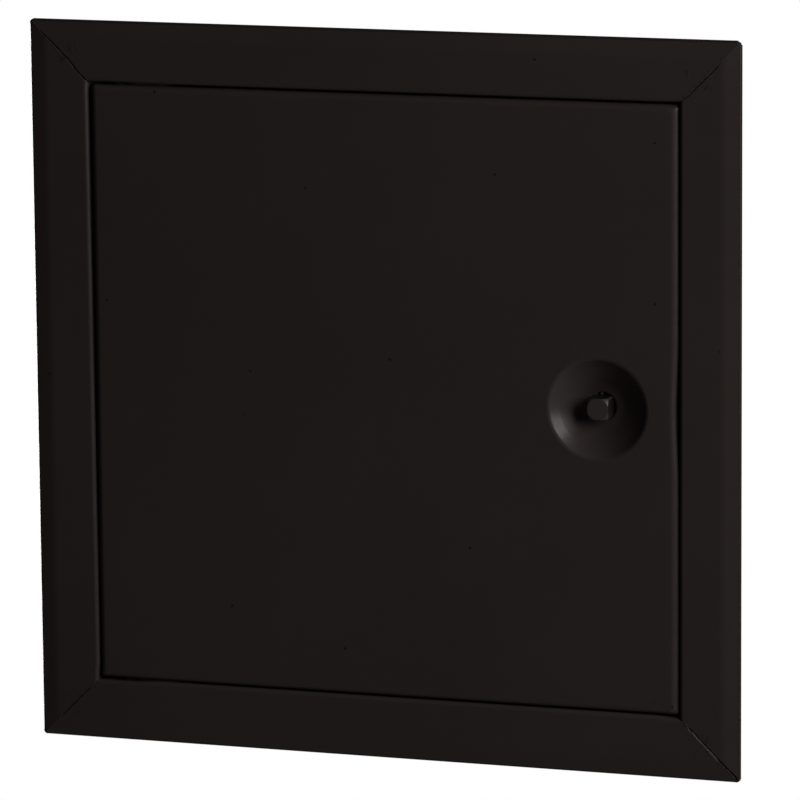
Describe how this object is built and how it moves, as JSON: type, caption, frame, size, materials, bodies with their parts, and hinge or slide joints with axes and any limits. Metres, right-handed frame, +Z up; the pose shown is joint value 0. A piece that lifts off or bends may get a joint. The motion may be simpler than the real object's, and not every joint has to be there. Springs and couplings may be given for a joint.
{
  "type": "inspection hatch",
  "caption": "Square sheet-steel inspection hatch: a mitred wall frame with a flush hinged leaf, locked by a square key in a pressed dish, painted dark brown.",
  "frame": {"origin": "centre of the opening, in the plane of the wall face that the back of the frame border rests on", "axes": "+X to the right as seen from the room, +Y into the wall, +Z up"},
  "size_m": [0.24, 0.0306, 0.24],
  "materials": {
    "brown_paint": "dark brown powder paint, satin, very finely textured",
    "galvanised": "hot-dip galvanised sheet, dull with a faint spangle",
    "zinc_plate": "bright zinc plate",
    "yellow_zinc": "yellow-passivated zinc plate with a faint colour play",
    "bright_steel": "plain bright steel",
    "black_nylon": "black nylon, dull"
  },
  "bodies": {
    "frame": {"frame_top_rail": "brown_paint", "frame_bottom_rail": "brown_paint", "frame_left_stile": "brown_paint", "frame_right_stile": "brown_paint", "gusset_top_left": "brown_paint", "gusset_top_right": "brown_paint", "gusset_bottom_left": "brown_paint", "gusset_bottom_right": "brown_paint", "stop_strip_top": "brown_paint", "stop_strip_bottom": "brown_paint", "stop_strip_latch": "brown_paint", "wall_anchor_upper_left": "galvanised", "wall_anchor_lower_left": "galvanised", "wall_anchor_upper_right": "galvanised", "wall_anchor_lower_right": "galvanised", "anchor_rivets": "bright_steel", "hinge_pin_top": "zinc_plate", "hinge_pin_bottom": "zinc_plate", "hinge_washer_bottom": "black_nylon"},
    "leaf": {"door_leaf": "brown_paint", "lock_bridge": "brown_paint", "cone_spring": "bright_steel", "hinge_washer_top": "black_nylon"},
    "cam": {"lock_spindle": "brown_paint", "lock_cam": "yellow_zinc", "cam_washer": "zinc_plate", "cam_nut": "zinc_plate"}
  },
  "joints": [
    {"name": "door_swing", "type": "hinge", "parent": "frame", "child": "leaf", "pos_m": [-0.0901, 0.0024, 0], "axis": [0, 0, -1], "range_deg": [0, 125]},
    {"name": "cam_turn", "type": "hinge", "parent": "leaf", "child": "cam", "pos_m": [0.0729, 0, 0], "axis": [0, -1, 0], "range_deg": [0, 90]}
  ]
}
